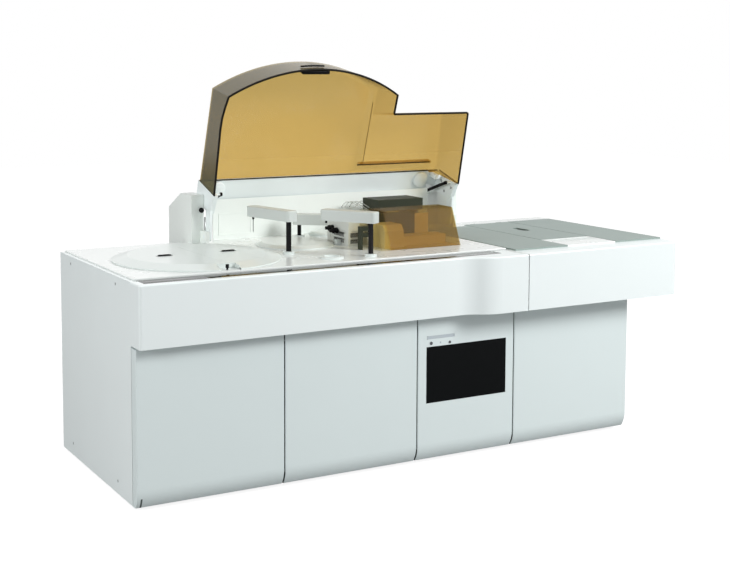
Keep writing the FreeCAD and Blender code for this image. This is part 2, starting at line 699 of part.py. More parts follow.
# Wash places and small fittings on the worktop
disc_x, disc_back, disc_radius = wash_disc
ring_x, ring_y, ring_outer, ring_inner = wash_ring
keep("wash_stations",
     turned(reaction_x + disc_x, cabinet_depth - disc_back,
            [(0, deck_top), (disc_radius, deck_top), (disc_radius, deck_top + 12), (disc_radius - 10, deck_top + 19), (0, deck_top + 19)]),
     turned(reaction_x - ring_x, ring_y,
            [(ring_inner, deck_top), (ring_outer, deck_top), (ring_outer, deck_top + 6), (ring_outer - 4, deck_top + 9),
             (ring_inner, deck_top + 9)]),
     box(reaction_x + 163, reaction_y - 98, deck_top, reaction_x + 185, reaction_y - 76, deck_top + 24),
     box(reaction_x + 90, reaction_y - 180, deck_top, reaction_x + 136, reaction_y - 164, deck_top + 2))
mx0, my0 = reaction_x + module_offset[0], reaction_y - module_offset[1]
mx1, my1, mtop = mx0 + module_size[0], my0 + module_size[1], deck_top + module_size[2]
shell = box(mx0, my0, deck_top, mx1, my1, mtop)
slots = []
for z in (deck_top + 26, deck_top + 52):
    slots.append(box(mx0 + 14, my0 - 1, z, mx0 + 64, my0 + 4, z + 16))
    slots.append(box(mx0 - 1, my0 + 24, z, mx0 + 4, my1 - 24, z + 16))
shell = shell.makeFillet(3.0, [e for e in shell.Edges if abs(e.CenterOfMass.z - mtop) < 1e-6]).cut(Part.makeCompound(slots))
fittings = []
for along, rise in ((103.0, 62.0), (143.0, 70.0)):
    fittings.append(joined([rod(mx0, my0 + along, deck_top + rise, 9, 14, (-1, 0, 0)),
                            rod(mx0 - 13, my0 + along, deck_top + rise, 5, 12, (-1, 0, 0))]))
keep("reader_module", shell, *fittings)

# Transfer arms: a hollow cover on a square shaft, a probe and a carriage below the worktop
arm_wall = 3.0
shaft_half = 8.0
journal = 6.0
carriage_side = 52.0
carriage_height = 34.0
rail_side = 14.0


def arm_parts(a, tilt=0.0):
    heading = degrees(atan2(a["to"][1], a["to"][0]))
    w = arm_width / 2
    low, high = a["low"], a["high"]
    body = rounded_box(-w, -w, low, a["reach"] + w * 0.6, w, high, 14)
    top = [e for e in body.Edges if abs(e.CenterOfMass.z - high) < 1e-6]
    body = body.makeFillet(5.0, top)
    hollow = rounded_box(-w + arm_wall, -w + arm_wall, low - 1, a["reach"] + w * 0.6 - arm_wall, w - arm_wall, high - arm_wall, 11)
    body = body.cut(hollow)
    return body, heading


def placed(shape, a, heading):
    shape.rotate(V(0, 0, 0), V(0, 0, 1), heading)
    shape.translate(V(a["x"], a["y"], 0))
    return shape


def shaft_of(a, bottom):
    top = a["high"] - arm_wall
    pieces = [box(-shaft_half, -shaft_half, bottom + carriage_height, shaft_half, shaft_half, top),
              rod(0, 0, bottom + 4, journal, carriage_height)]
    pieces.append(box(-20, -18, a["low"] + 6, 20, 18, a["low"] + 14))
    return joined(pieces)


bush_bore = shaft_half * sqrt(2) + 1.2
bushes = []
for a in (arm_a, arm_b, arm_c):
    ring = rod(a["x"], a["y"], deck_top, bush_radius, bush_height)
    bushes.append(ring.cut(rod(a["x"], a["y"], deck_top - 1, bush_bore, bush_height + 2)))
keep("arm_bushes", *bushes)
guides = []
for name, a in (("arm_a", arm_a), ("arm_c", arm_c)):
    tip = deck_top + a["tip"]
    body, heading = arm_parts(a)
    bottom = deck_top - shaft_drop
    keep(name + "_cover", placed(body, a, heading))
    probe = joined([box(a["reach"] - 12, -14, a["high"] - arm_wall - 8, a["reach"] + 6, 14, a["high"] - arm_wall),
                    rod(a["reach"], 0, a["low"] - 14, 5, a["high"] - arm_wall - 4 - a["low"] + 14),
                    rod(a["reach"], 0, tip + 6, 1.5, a["low"] - tip), rod(a["reach"], 0, tip, 0.8, 8)])
    keep(name + "_shaft", placed(shaft_of(a, bottom), a, heading), placed(probe, a, heading))
    c2 = carriage_side / 2
    block = box(a["x"] - c2, a["y"] - c2, bottom, a["x"] + c2, a["y"] + c2, bottom + carriage_height - 0.4)
    keep(name + "_carriage", block.cut(rod(a["x"], a["y"], bottom + 4 - 0.4, journal + running_gap, carriage_height)))
    rail_y = a["y"] + c2 + 0.4
    travel = 85.0
    guides.append(box(a["x"] - rail_side / 2, rail_y, bottom - travel, a["x"] + rail_side / 2, rail_y + rail_side, rim_height))
body, heading = arm_parts(arm_b)
b_bottom = deck_top - 70.0
keep("arm_b_cover", placed(body, arm_b, heading))
keep("arm_b_shaft", placed(shaft_of(arm_b, b_bottom), arm_b, heading),
     placed(joined([box(arm_b["reach"] - 12, -14, arm_b["high"] - arm_wall - 8, arm_b["reach"] + 6, 14, arm_b["high"] - arm_wall),
                    rod(arm_b["reach"], 0, deck_top + arm_b["tip"], 3, arm_b["high"] - arm_wall - 4 - deck_top - arm_b["tip"])]), arm_b, heading))
bearing = box(arm_b["x"] - 26, arm_b["y"] - 26, b_bottom, arm_b["x"] + 26, arm_b["y"] + 26, b_bottom + carriage_height - 0.4)
bearing = bearing.cut(rod(arm_b["x"], arm_b["y"], b_bottom + 3.6, journal + running_gap, carriage_height))
guides.append(bearing)
guides.append(box(arm_b["x"] + 26, arm_b["y"] - 10, b_bottom, arm_b["x"] + 34, arm_b["y"] + 10, rim_height))
keep("arm_guides", *guides)

# Hinge columns with a bracket each for the lid's pins and a stud each for the stays
bracket_thickness = 18.0
bracket_height = 59.0
stay_gap = 2.0
stud_reach = stay_offset - stay_eye_width / 2
columns = []
column_gap = lid_left - column_left - column_width
back_line = cabinet_depth
shoulder = deck_top + column_shoulder
crest = cabinet_depth + column_crest
outline = [(column_front, deck_top), (back_line, deck_top), (back_line, column_foot), (column_back, column_foot + 60),
           (column_back, shoulder), (crest, column_top), (column_front + 4, column_top), (column_front, column_top - 4)]
w = column_wall
pocket = [(column_front + w, deck_top + w), (back_line + w, deck_top + w), (back_line + w, column_foot + w + 3),
          (column_back - w, column_foot + 62), (column_back - w, shoulder - 2), (crest - 1, column_top - w), (column_front + w, column_top - w)]
for left, face, side in ((column_left, lid_left - column_gap, 1), (lid_right + column_gap, lid_right + column_gap, -1)):
    shell = plate_yz(outline, left, left + column_width).cut(plate_yz(pocket, left + w, left + column_width - w))
    columns.append(shell)
    x0, x1 = sorted((face, face - side * bracket_thickness))
    bracket = box(x0, hinge_y - 26, deck_top, x1, column_front, deck_top + bracket_height)
    columns.append(bracket.cut(rod(x0 - 1, hinge_y, hinge_z, hinge_pin_radius + running_gap, bracket_thickness + 2, (1, 0, 0))))
    stud = rod(face, stay_y, stay_z, stay_pin_radius, stay_offset + stay_eye_width, (side, 0, 0))
    columns.append(stud.fuse(rod(face, stay_y, stay_z, stay_pin_radius + 5, stud_reach - 1, (side, 0, 0))))
keep("hinge_columns", *columns)

# The lid is drawn with x across, s up its slope and d towards its open side, then leaned back
lean = radians(lid_tilt)
lid_matrix = FreeCAD.Matrix(1, 0, 0, 0, 0, -sin(lean), -cos(lean), datum_y, 0, cos(lean), -sin(lean), datum_z, 0, 0, 0, 1)


def lid_place(s, d):
    return datum_y - s * sin(lean) - d * cos(lean), datum_z + s * cos(lean) - d * sin(lean)


def lid_local(y, z):
    return ((y - datum_y) * -sin(lean) + (z - datum_z) * cos(lean), (y - datum_y) * -cos(lean) + (z - datum_z) * -sin(lean))


def put(shape):
    copy = shape.copy()
    copy.Placement = FreeCAD.Placement(lid_matrix).multiply(copy.Placement)
    return copy


def plate_sd(points, x0, x1):
    wire = Part.makePolygon([V(x0, a, b) for a, b in points] + [V(x0, *points[0])])
    return Part.Face(wire).extrude(V(x1 - x0, 0, 0))


hinge_s, hinge_d = lid_local(hinge_y, hinge_z)
cheek = [(hood_low, hood_back), (hood_low, cheek_depth), (-2.0, 158.0), (-10.0, hood_back)]
lid_arm = [(20.0, 108.0), (20.0, 160.0), (hinge_s, hinge_d + hinge_boss_radius), (hinge_s, hinge_d - hinge_boss_radius)]
notch_half = 20.0
frame_pieces = []
beam = box(lid_left + cheek_thickness, beam_low, hood_back, lid_right - cheek_thickness, hood_low, beam_front)
for side, x in ((1, lid_left), (-1, lid_right)):
    stay_x = x - side * column_gap + side * stay_offset
    beam = beam.cut(box(stay_x - notch_half, beam_low - 1, hood_back - 1, stay_x + notch_half, beam_low + 22, beam_front + 1))
    x0, x1 = sorted((x, x + side * cheek_thickness))
    a0, a1 = sorted((x, x + side * lid_arm_thickness))
    pieces = [plate_sd(cheek, x0, x1), plate_sd(lid_arm, a0, a1),
              rod(a0, hinge_s, hinge_d, hinge_boss_radius, lid_arm_thickness, (1, 0, 0)),
              rod(x, hinge_s, hinge_d, hinge_pin_radius, column_gap + bracket_thickness, (-side, 0, 0)),
              rod(x + side * cheek_thickness, stay_lid_s, stay_lid_d, stay_pin_radius,
                  stay_offset - column_gap - cheek_thickness - stay_eye_width / 2 - stay_gap, (side, 0, 0))]
    frame_pieces.append(put(joined(pieces)))
frame_pieces.append(put(beam))
keep("lid_frame", *frame_pieces)


# Hood: a deep part with an arched front and a shallower part beside it, one wall thick
def arched(inset, front_in, side_in, d, low):
    x0 = lid_left + inset
    x1 = hood_main_right - side_in - inset
    corner = hood_corner - front_in - inset
    crown = hood_crown - front_in - inset
    crown_x = 1096.0
    points = [V(x0, low, d), V(x0, corner, d), V(crown_x, crown, d), V(x1, corner, d), V(x1, low, d)]
    return Part.Wire([Part.makeLine(points[0], points[1]), Part.Arc(points[1], points[2], points[3]).toShape(),
                      Part.makeLine(points[3], points[4]), Part.makeLine(points[4], points[0])])


def straight(inset, front_in, side_in, d, low, x_left):
    right = extension_right_low - side_in - inset
    tip = extension_right_top - side_in - inset
    front = extension_front - front_in - inset
    return Part.makePolygon([V(x_left, low, d), V(x_left, front, d), V(tip, front, d), V(right, low, d), V(x_left, low, d)])


def hood_solid(inset, low):
    bevel = 20.0
    open_side = hood_rim + (1 if inset else 0)
    back = hood_back + inset
    step = extension_back + inset
    main = Part.makeLoft([arched(inset, 0, 0, open_side, low), arched(inset, hood_front_draft - 3, hood_side_draft - 2, back + bevel, low)], True, True)
    rim_part = Part.makeLoft([arched(inset, hood_front_draft - 3, hood_side_draft - 2, back + bevel, low),
                              arched(inset + bevel * 0.8, hood_front_draft, hood_side_draft, back, low)], True, True)
    side = Part.makeLoft([straight(inset, 0, 0, open_side, low, hood_main_right - 60),
                          straight(inset, extension_front_draft, extension_side_draft, step, low, hood_main_right - 60)], True, True)
    top_band = hood_main_right - 60
    band = box(top_band, low, back, extension_right_low - extension_side_draft - 28 - inset, band_top - inset, step + 1)
    return joined([main, rim_part, side, band])


hood = hood_solid(0, hood_low).cut(hood_solid(hood_wall, hood_low - 1))
left_rim = [(hood_low - 2, cheek_depth), (408.0, 148.0), (460.0, 150.0), (515.0, 165.0), (hood_corner + 1, hood_rim),
            (hood_corner + 1, hood_rim + 9), (hood_low - 2, hood_rim + 9)]
hood = hood.cut(plate_sd(left_rim, lid_left - 2, lid_left + hood_wall + 3))
keep("lid_hood", put(hood))

# Gas stays: a rod turning on the column's stud inside a tube whose eye stands beside the lid's pin
lid_y, lid_z = lid_place(stay_lid_s, stay_lid_d)
stay_length = hypot(lid_y - stay_y, lid_z - stay_z)
stay_angle = degrees(atan2(lid_z - stay_z, lid_y - stay_y))
rod_length = stay_length - 20.0
for name, stay_x in (("left", lid_left - column_gap + stay_offset), ("right", lid_right + column_gap - stay_offset)):
    eye_low = stay_x - stay_eye_width / 2
    rod_part = joined([rod(eye_low, 0, 0, stay_eye_radius, stay_eye_width, (1, 0, 0)),
                       rod(stay_x, 6, 0, stay_rod_radius, rod_length - 6, (0, 1, 0))])
    rod_part = rod_part.cut(rod(eye_low - 1, 0, 0, stay_pin_radius + running_gap, stay_eye_width + 2, (1, 0, 0)))
    tube_low = stay_length - stay_tube_length
    tube_part = joined([rod(stay_x, tube_low, 0, stay_tube_radius, stay_tube_length - 8, (0, 1, 0)),
                        rod(eye_low, stay_length, 0, stay_eye_radius, stay_eye_width, (1, 0, 0))])
    tube_part = tube_part.cut(rod(stay_x, tube_low - 1, 0, stay_rod_radius + running_gap, stay_tube_length - 14, (0, 1, 0)))
    tube_part = tube_part.cut(rod(eye_low - 1, stay_length, 0, stay_pin_radius + 1, stay_eye_width + 2, (1, 0, 0)))
    for kind, piece in (("rod", rod_part), ("tube", tube_part)):
        piece.rotate(V(0, 0, 0), V(1, 0, 0), stay_angle)
        piece.translate(V(0, stay_y, stay_z))
        keep(name + "_stay_" + kind, piece)

# Tinted cover over the cuvette loader, and what stands inside and behind it
loader_profile = [(loader_front, deck_top), (loader_front + loader_lean, loader_top), (loader_back, loader_top), (loader_back, deck_top)]
t = loader_wall
slope = t * hypot(loader_lean, loader_top - deck_top) / (loader_top - deck_top)
inner_profile = [(loader_front + slope - loader_lean / (loader_top - deck_top), deck_top - 1),
                 (loader_front + slope + loader_lean * (loader_top - t - deck_top) / (loader_top - deck_top), loader_top - t),
                 (loader_back - t, loader_top - t), (loader_back - t, deck_top - 1)]
panes = plate_yz(loader_profile, loader_left + t, loader_right - t).cut(plate_yz(inner_profile, loader_left, loader_right))
crown = box(loader_left, loader_front - 1, loader_top - t, loader_right, loader_back + 1, loader_top + 1)
keep("loader_cover", panes.common(crown), panes.cut(crown), plate_yz(loader_profile, loader_left, loader_left + t),
     plate_yz(loader_profile, loader_right - t, loader_right))
magazine_left = loader_left + magazine_inset
magazine_front = loader_front + 52
magazine_back = loader_back - 20
magazine_top = deck_top + magazine_rise
magazine = plate_yz([(magazine_front, deck_top), (magazine_front, deck_top + magazine_mouth), (magazine_front + 20, magazine_top),
                     (magazine_back, magazine_top), (magazine_back, deck_top)], magazine_left, magazine_left + magazine_width)
cuvette_rails = []
for y in (magazine_back - cuvette_rail_width - cuvette_rail_gap, magazine_back - cuvette_rail_width):
    cuvette_rails.append(box(magazine_left + magazine_width + 10, y, deck_top, loader_right - 23, y + cuvette_rail_width,
                             deck_top + cuvette_rail_rise))
keep("cuvette_loader", magazine, *cuvette_rails)
pump_x = loader_left - pump_inset
pump_y = loader_front + pump_setback
pump_top = deck_top + pump_rise
pumps = (box(pump_x, pump_y, deck_top, pump_x + 12, pump_y + 24, pump_top),
         box(pump_x + 12, pump_y, pump_top - 20, loader_left - 4, pump_y + 24, pump_top),
         box(pump_x + 12, pump_y, pump_top - 48, loader_left - 4, pump_y + 24, pump_top - 30))
gantry_right = deck_end - gantry_inset
gantry_left = gantry_right - gantry_width
gantry_rear = cabinet_depth - gantry_back
gantry_front = gantry_rear - gantry_depth
gantry_low = deck_top + gantry_rise
gantry = [box(gantry_left, gantry_front, gantry_low, gantry_right, gantry_rear, gantry_low + gantry_height)]
for x in (gantry_left + 20, gantry_right - 20 - gantry_leg):
    for y in (gantry_front + 12, gantry_rear - 12 - gantry_leg):
        gantry.append(box(x, y, deck_top, x + gantry_leg, y + gantry_leg, gantry_low))
keep("gripper_housing", *gantry, *pumps)

# Right-hand worktop with its service plates, keypad and hatch
plate_low = rim_height
deck_right = total_width - overhang_wall
right_left = deck_end + 2.0
hatch_x = (plate_seams[0] + plate_gap / 2, plate_seams[1] - plate_gap / 2)
pan_low = rail_top
shelf = 30.0
pan = box(right_left, side_front + 0.5, rim_height - 3, deck_right, cabinet_depth - overhang_wall, rim_height)
pan = pan.cut(box(hatch_x[0] + shelf, hatch_front + shelf, pan_low - 1, hatch_x[1] - shelf, hatch_back - shelf, rim_height + 1))
legs = [box(right_left, y0, pan_low, deck_right, y1, rim_height - 3) for y0, y1 in (front_rail, rear_rail)]
back_border = box(right_left, border_front, rim_height, deck_right, cabinet_depth - 0.5, deck_top)
bracket_step = box(right_left, hinge_y - 30, rim_height, plate_seams[0] - plate_gap, border_front + 1, deck_top)
keypad_shelf = box(hatch_x[0], plate_front, rim_height, hatch_x[1], hatch_front - plate_gap, deck_top)
hatch_axis_y = hatch_back + hatch_pin_gap
hatch_axis_z = rim_height + 4.0
lugs = []
for x in (hatch_x[0] + 30, hatch_x[1] - 42):
    lug = box(x, hatch_axis_y - 3, rim_height, x + 12, border_front - 1, rim_height + 7)
    lugs.append(lug.cut(rod(x - 1, hatch_axis_y, hatch_axis_z, hatch_pin_radius + running_gap, 14, (1, 0, 0))))
keep("right_deck", pan, joined([back_border, bracket_step]), *legs, *lugs)
keypad_well = (hatch_x[0] + 20, 118.0, hatch_x[1] - 20, 196.0)
keep("keypad_panel", keypad_shelf.cut(box(keypad_well[0], keypad_well[1], deck_top - 3, keypad_well[2], keypad_well[3], deck_top + 1)))
keep("service_plates", box(right_left + 5, plate_front, plate_low, plate_seams[0] - plate_gap / 2, hinge_y - 34, plate_low + plate_thickness),
     box(plate_seams[1] + plate_gap / 2, plate_front, plate_low, total_width - 4, border_front - 4, plate_low + plate_thickness))
fx, fy, fw, fl = finger_hole
hatch = box(hatch_x[0] + 1, hatch_front, plate_low + 0.3, hatch_x[1] - 1, hatch_back, plate_low + plate_thickness)
hatch = hatch.cut(rounded_box(fx - fw / 2, fy - fl / 2, plate_low - 1, fx + fw / 2, fy + fl / 2, plate_low + plate_thickness + 1, fw / 2 - 0.01))
for x, pin_x in ((hatch_x[0] + 42.3, hatch_x[0] + 32), (hatch_x[1] - 72.3, hatch_x[1] - 44)):
    knuckle = box(x, hatch_back - 1, rim_height + 1, x + 30, hatch_axis_y, rim_height + 6)
    hatch = hatch.fuse([knuckle, rod(x, hatch_axis_y, hatch_axis_z, hatch_knuckle_radius, 30, (1, 0, 0)),
                        rod(pin_x, hatch_axis_y, hatch_axis_z, hatch_pin_radius, 12, (1, 0, 0))])
keep("service_hatch", hatch.removeSplitter())

# Inside the cabinet
bin_wall = 3.0


def unit_box(left, width, behind, depth, height):
    back = cabinet_depth - behind
    return left, back - depth, pan_top, left + width, back, pan_top + height


bin_box = unit_box(*bin_unit)
bx0, by0, bz0, bx1, by1, bz1 = bin_box
keep("waste_bin", box(*bin_box).cut(box(bx0 + bin_wall, by0 + bin_wall, bz0 + bin_wall, bx1 - bin_wall, by1 - bin_wall, bz1 + 1)))
keep("electronics", *[box(*unit_box(*unit)) for unit in (supply_unit, control_unit, pump_unit)])
fluid_box = unit_box(*fluid_unit)
neck_x = (fluid_box[0] + fluid_box[3]) / 2
keep("fluid_tank", joined([rounded_box(*fluid_box, 30.0), rod(neck_x, fluid_box[1] + 120, fluid_box[5] - 1, 32, 31)]))
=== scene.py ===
import json
from math import cos, pi, radians, sin, tau

import bpy
import numpy as np
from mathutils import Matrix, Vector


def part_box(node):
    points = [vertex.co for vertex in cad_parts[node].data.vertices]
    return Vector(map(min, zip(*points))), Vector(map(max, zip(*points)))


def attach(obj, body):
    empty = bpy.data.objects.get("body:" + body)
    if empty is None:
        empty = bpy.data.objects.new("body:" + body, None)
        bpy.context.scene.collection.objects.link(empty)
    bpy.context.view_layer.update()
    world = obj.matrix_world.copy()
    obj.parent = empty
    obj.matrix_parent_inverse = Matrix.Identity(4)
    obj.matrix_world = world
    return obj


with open("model.json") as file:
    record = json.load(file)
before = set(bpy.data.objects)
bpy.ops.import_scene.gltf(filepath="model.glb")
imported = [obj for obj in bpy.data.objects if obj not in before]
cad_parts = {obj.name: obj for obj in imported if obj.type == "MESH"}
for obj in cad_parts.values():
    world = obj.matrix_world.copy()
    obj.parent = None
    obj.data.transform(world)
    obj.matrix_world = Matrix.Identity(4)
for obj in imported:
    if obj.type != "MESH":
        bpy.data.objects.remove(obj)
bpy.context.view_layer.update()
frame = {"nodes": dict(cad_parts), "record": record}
print("frame loaded")

# Drawing places are in millimetres from the cabinet's front left corner on the floor
origin = np.array([1326.5, 518.0, 0.0])

# Lid places: x across, s up the slope, d towards the open side
lid = dict(tilt=radians(19.0), y=950.0, z=1100.0)


def place(points):
    # Drawing places in metres about the object's origin
    return (np.asarray(points, float) - origin) / 1000


def onLid(points):
    # Lid places turned by the lid's tilt about its lower back edge, as drawing places
    p = np.asarray(points, float)
    c, s = cos(lid["tilt"]), sin(lid["tilt"])
    return place(np.stack([p[..., 0], lid["y"] - p[..., 1] * s - p[..., 2] * c,
                           lid["z"] + p[..., 1] * c - p[..., 2] * s], -1))


class Wire:
    # A shader socket with arithmetic: each operator adds a Math node
    def __init__(self, tree, socket=None):
        self.tree = tree
        self.socket = socket

    def node(self, kind, inputs=(), output=0, **settings):
        # A node of any type: its settings first, then the values or links of its sockets
        n = self.tree.nodes.new(kind)
        for key, value in settings.items():
            setattr(n, key, value)
        for key, value in dict(inputs).items():
            if isinstance(value, Wire):
                value.to(n.inputs[key])
            else:
                n.inputs[key].default_value = value
        return Wire(self.tree, n.outputs[output])

    def outputs(self, kind, names, inputs=()):
        # Several outputs of one node
        n = self.node(kind, inputs).socket.node
        return [Wire(self.tree, n.outputs[name]) for name in names]

    def to(self, socket):
        # A link from this socket to an input
        self.tree.links.new(self.socket, socket)

    def maths(self, operation, other, swap=False):
        # This socket and another value through one Math node
        pair = (other, self) if swap else (self, other)
        return self.node("ShaderNodeMath", {0: pair[0], 1: pair[1]}, operation=operation)

    def mix(self, a, b, factor=1.0, blend="MIX"):
        # Two colours; 6, 7 and output 2 are the Mix node's colour sockets
        return self.node("ShaderNodeMix", {0: factor, 6: a, 7: b}, output=2,
                         data_type="RGBA", blend_type=blend)

    def ramp(self, a, b, low, high, **settings):
        # From low at a to high at b
        return self.node("ShaderNodeMapRange", {0: self, 1: a, 2: b, 3: low, 4: high}, **settings)

    def __add__(self, other):
        return self.maths("ADD", other)

    def __sub__(self, other):
        return self.maths("SUBTRACT", other)

    def __rsub__(self, other):
        return self.maths("SUBTRACT", other, True)

    def __mul__(self, other):
        return self.maths("MULTIPLY", other)

    __radd__ = __add__
    __rmul__ = __mul__


def linear(rgb):
    # Screen levels of 0 to 255 as linear light, by the sRGB curve
    v = np.array(rgb) / 255
    v = np.where(v <= 0.04045, v / 12.92, ((v + 0.055) / 1.055) ** 2.4)
    return (float(v[0]), float(v[1]), float(v[2]), 1.0)


# Painted shade on the lid's walls: a darker second colour by depth under its face and by place across, in
# metres
lidWallShade = dict(stepX=0.15, stepEase=0.01, face=0.004, raisedFace=0.03, ease=0.012,
                fullShadeTo=0.03, leastShadeFrom=0.19, rightShare=0.12)


def wallShadeShare(x, y, z):
    # 0 on the lid's face to 1 on its walls, the share of painted shade: the depth under the tilted face,
    # which starts lower right of the step, eased over a few millimetres, and faded from full on the left
    # part, which turns grey, to a small share on the amber right part
    w = lidWallShade
    y0, z0 = place((0, lid["y"], lid["z"]))[1:].tolist()
    depth = (y0 - y) * cos(lid["tilt"]) + (z0 - z) * sin(lid["tilt"])
    face = x.ramp(w["stepX"], w["stepX"] + w["stepEase"], w["face"], w["raisedFace"])
    share = (depth - face).ramp(0.0, w["ease"], 0.0, 1.0, interpolation_type="SMOOTHSTEP")
    return share * x.ramp(w["fullShadeTo"], w["leastShadeFrom"], 1.0, w["rightShare"])


def gapShadeMask(x, y, gapShade):
    # Painted shade in the door gaps: 1 within half a band of a door gap and behind the door's front, 0
    # elsewhere
    edge = 0.0
    for gapX in gapShade["gaps"]:
        near = x.node("ShaderNodeMath", {0: x, 1: gapX, 2: gapShade["half"]}, operation="COMPARE")
        edge = near.maths("MAXIMUM", edge)
    return edge * y.maths("GREATER_THAN", gapShade["front"])


# What every finish shares
finish = dict(coatRough=0.08, roughSpread=0.1, cloudDetail=3.0, grainScale=900.0, grainDetail=2.0,
              grainDepth=0.0004, bareTint=(0.96, 0.95, 0.9, 1.0))


def paint(name, rgb, rough=0.4, metal=0.0, coat=0.0, alpha=1.0, gloss=0.5, mottle=0.02, scale=6.0, grain=0.0,
          gapShade=None, wallShade=None, clear=None, solid=0.25, wallShadeSolid=0.7, fade=None):
    # The colour varies by a slow noise, the roughness follows it, and grain is a fine bump
    # Painted shade: dark bands in the door gaps, and a darker second colour on the lid's walls
    # Clear is the tint of what shows through, solid the share that stays a surface
    # With fade, the tint starts along X
    m = bpy.data.materials.new(name)
    m.use_nodes = True
    tree = m.node_tree
    shader = tree.nodes["Principled BSDF"]
    start = Wire(tree)
    where = start.node("ShaderNodeTexCoord", output="Object")
    x, y, z = start.outputs("ShaderNodeSeparateXYZ", "XYZ", {0: where})
    cloud = start.node("ShaderNodeTexNoise",
                       {"Vector": where, "Scale": scale, "Detail": finish["cloudDetail"]})
    shade = cloud * (2 * mottle) + (1 - mottle)
    colour = start.mix(linear(rgb), start.node("ShaderNodeCombineColor", {0: shade, 1: shade, 2: shade}),
                       blend="MULTIPLY")
    # Painted shade on the lid's walls
    share = wallShadeShare(x, y, z) if wallShade else 0.0
    if wallShade:
        colour = start.mix(colour, linear(wallShade), share)
    # Painted shade: dark bands in the door gaps
    if gapShade:
        colour = start.mix(colour, linear(gapShade["rgb"]), gapShadeMask(x, y, gapShade))
    colour.to(shader.inputs["Base Color"])
    spread = finish["roughSpread"]
    (cloud * spread + (rough - spread / 2)).to(shader.inputs["Roughness"])
    shader.inputs["Metallic"].default_value = metal
    shader.inputs["Coat Weight"].default_value = coat
    shader.inputs["Coat Roughness"].default_value = finish["coatRough"]
    shader.inputs["Alpha"].default_value = alpha
    shader.inputs["Specular IOR Level"].default_value = gloss
    if clear:
        passed = start.node("ShaderNodeBsdfTransparent", {0: (*clear, 1.0)})
        amount = share * (wallShadeSolid - solid) + solid
        if fade:
            tinted = x.ramp(fade["from"], fade["to"], 0.0, 1.0)
            bare = start.node("ShaderNodeBsdfTransparent", {0: finish["bareTint"]})
            passed = start.node("ShaderNodeMixShader", {0: tinted, 1: bare, 2: passed})
            amount = tinted * (solid - fade["least"]) + fade["least"]
        both = start.node("ShaderNodeMixShader", {0: amount, 1: passed, 2: Wire(tree, shader.outputs[0])})
        both.to(tree.nodes["Material Output"].inputs["Surface"])
    if grain:
        fine = start.node("ShaderNodeTexNoise",
                          {"Vector": where, "Scale": finish["grainScale"], "Detail": finish["grainDetail"]})
        bump = start.node("ShaderNodeBump",
                          {"Height": fine, "Strength": grain, "Distance": finish["grainDepth"]})
        bump.to(shader.inputs["Normal"])
    return m


# Lacquers and plates
# The panels' white is a lighter copy of the door lacquer: painted light that brightens the fascia and the
# other white panels
white = paint("white_lacquer", (242, 250, 250), rough=0.32, coat=0.25, mottle=0.008, grain=0.03)
# Painted shade: dark bands on the doors' side faces, in the gaps between doors and beside the left door's
# outer edge
doorGapShade = dict(gaps=(-1.3065, -0.6895, -0.0525, 0.4575), half=0.0035, front=-0.514, rgb=(60, 72, 70))
doorWhite = paint("door_lacquer", (226, 237, 237), rough=0.32, coat=0.25, mottle=0.008, grain=0.03,
                  gapShade=doorGapShade)
worktop = paint("worktop_white", (236, 241, 239), rough=0.28, coat=0.3, mottle=0.008)
column = paint("column_white", (241, 247, 243), rough=0.4, mottle=0.01, grain=0.04)
greyTop = paint("grey_plate", (146, 160, 155), rough=0.42, gloss=0.25, mottle=0.01, grain=0.05)
frameGrey = paint("frame_grey", (150, 155, 158), rough=0.45)
zinc = paint("zinc_plate", (165, 168, 170), rough=0.35, metal=0.9)

# Plastics and rubber
discWhite = paint("disc_white", (224, 232, 229), rough=0.3, coat=0.2, mottle=0.01)
armGrey = paint("arm_grey", (205, 212, 208), rough=0.35, coat=0.1)
module = paint("module_grey", (214, 218, 214), rough=0.4, grain=0.04)
wellPale = paint("well_pale", (196, 203, 200), rough=0.5, gloss=0.25)
bottle = paint("bottle_white", (214, 212, 200), rough=0.35)
button = paint("button_grey", (92, 96, 100), rough=0.35)
housing = paint("housing_dark", (50, 54, 42), rough=0.45, gloss=0.15)
rubber = paint("dark_rubber", (22, 23, 25), rough=0.7, gloss=0.15)
black = paint("black_anodised", (14, 14, 16), rough=0.4, gloss=0.1)

# Glass, screens and tinted sheets
smoky = paint("black_glass_strip", (26, 32, 31), rough=0.06, gloss=0.32, mottle=0.01)
screen = paint("screen_black", (14, 16, 17), rough=0.2, gloss=0.1)
lamp = paint("lamp_strip", (190, 200, 206), rough=0.2, coat=0.4)
clearTube = paint("clear_tube", (205, 210, 205), rough=0.15, coat=0.5, alpha=0.6)
# The amber sheet's walls take painted shade: a darker olive that also lets less light through
amber = paint("amber_sheet", (206, 166, 90), rough=0.15, mottle=0.03, scale=2.0, wallShade=(98, 97, 76),
              clear=(0.9, 0.77, 0.44), solid=0.3, wallShadeSolid=0.74)
amberEdge = paint("amber_edge", (26, 23, 19), rough=0.5, gloss=0.12)
brown = paint("brown_sheet", (122, 92, 24), rough=0.12, gloss=0.1, clear=(0.88, 0.79, 0.55), solid=0.2,
              fade={"from": -0.04, "to": -0.026, "least": 0.03})
gold = paint("golden_panel", (216, 196, 136), rough=0.45, gloss=0.3)

